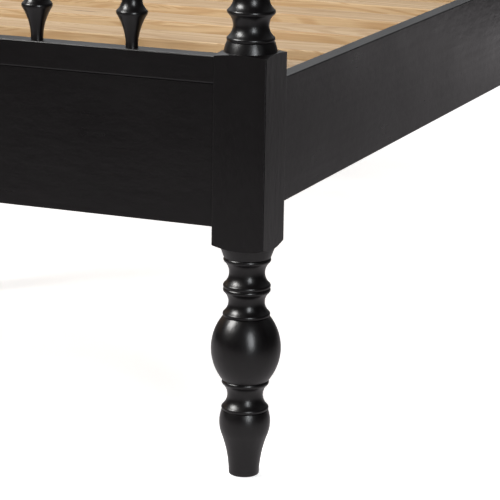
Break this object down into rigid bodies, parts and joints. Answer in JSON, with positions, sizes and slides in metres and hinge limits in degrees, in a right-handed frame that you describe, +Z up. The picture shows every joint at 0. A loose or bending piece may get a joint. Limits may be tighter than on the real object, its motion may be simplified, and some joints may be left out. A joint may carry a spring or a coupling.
{
  "type": "spindle bed",
  "caption": "Black painted double bed with turned posts and spindles at both ends, recessed end panels, plain side rails and a slat deck on a centre beam with levelling feet.",
  "frame": {"origin": "on the floor, under the middle of the bed", "axes": "+Y along the bed from the foot end to the head end, +X across it, +Z up"},
  "size_m": [1.4736, 2.0776, 1.2247],
  "materials": {
    "painted_wood": "satin black paint on turned and planed wood",
    "bare_pine": "planed, unfinished",
    "dowel_wood": "beech, unfinished",
    "black_steel": "black powder coat",
    "zinc_steel": "bright zinc plated",
    "black_plastic": "moulded, matt",
    "nylon": "natural, matt"
  },
  "bodies": {
    "bed": {"foot_post_left": "painted_wood", "foot_leg_left": "painted_wood", "foot_finial_left": "painted_wood", "foot_post_right": "painted_wood", "foot_leg_right": "painted_wood", "foot_finial_right": "painted_wood", "foot_top_rail": "painted_wood", "foot_upper_cross_rail": "painted_wood", "foot_panel": "painted_wood", "foot_spindle_01": "painted_wood", "foot_spindle_02": "painted_wood", "foot_spindle_03": "painted_wood", "foot_spindle_04": "painted_wood", "foot_spindle_05": "painted_wood", "foot_spindle_06": "painted_wood", "foot_spindle_07": "painted_wood", "foot_spindle_08": "painted_wood", "foot_spindle_09": "painted_wood", "foot_spindle_10": "painted_wood", "foot_support_leg": "painted_wood", "head_post_left": "painted_wood", "head_leg_left": "painted_wood", "head_finial_left": "painted_wood", "head_post_right": "painted_wood", "head_leg_right": "painted_wood", "head_finial_right": "painted_wood", "head_top_rail": "painted_wood", "head_upper_cross_rail": "painted_wood", "head_panel": "painted_wood", "head_spindle_01": "painted_wood", "head_spindle_02": "painted_wood", "head_spindle_03": "painted_wood", "head_spindle_04": "painted_wood", "head_spindle_05": "painted_wood", "head_spindle_06": "painted_wood", "head_spindle_07": "painted_wood", "head_spindle_08": "painted_wood", "head_spindle_09": "painted_wood", "head_spindle_10": "painted_wood", "head_support_leg": "painted_wood", "side_rail_left": "painted_wood", "slat_ledger_left": "bare_pine", "side_rail_right": "painted_wood", "slat_ledger_right": "bare_pine", "slats": "bare_pine", "centre_beam": "bare_pine", "board_dowels": "dowel_wood", "rail_brackets": "black_steel", "beam_hangers": "black_steel", "bracket_bolts": "zinc_steel", "post_sleeves": "zinc_steel", "leveller_inserts": "zinc_steel", "wood_screws": "zinc_steel", "bracket_screws": "zinc_steel", "hanger_bolts": "zinc_steel", "leg_glides": "nylon"},
    "foot_leveller": {"foot_leveller": "black_plastic"},
    "head_leveller": {"head_leveller": "black_plastic"}
  },
  "joints": [
    {"name": "foot_leveller_height", "type": "slide", "parent": "bed", "child": "foot_leveller", "axis": [0, 0, -1], "range_m": [-0.01, 0.015]},
    {"name": "head_leveller_height", "type": "slide", "parent": "bed", "child": "head_leveller", "axis": [0, 0, -1], "range_m": [-0.01, 0.015]}
  ]
}
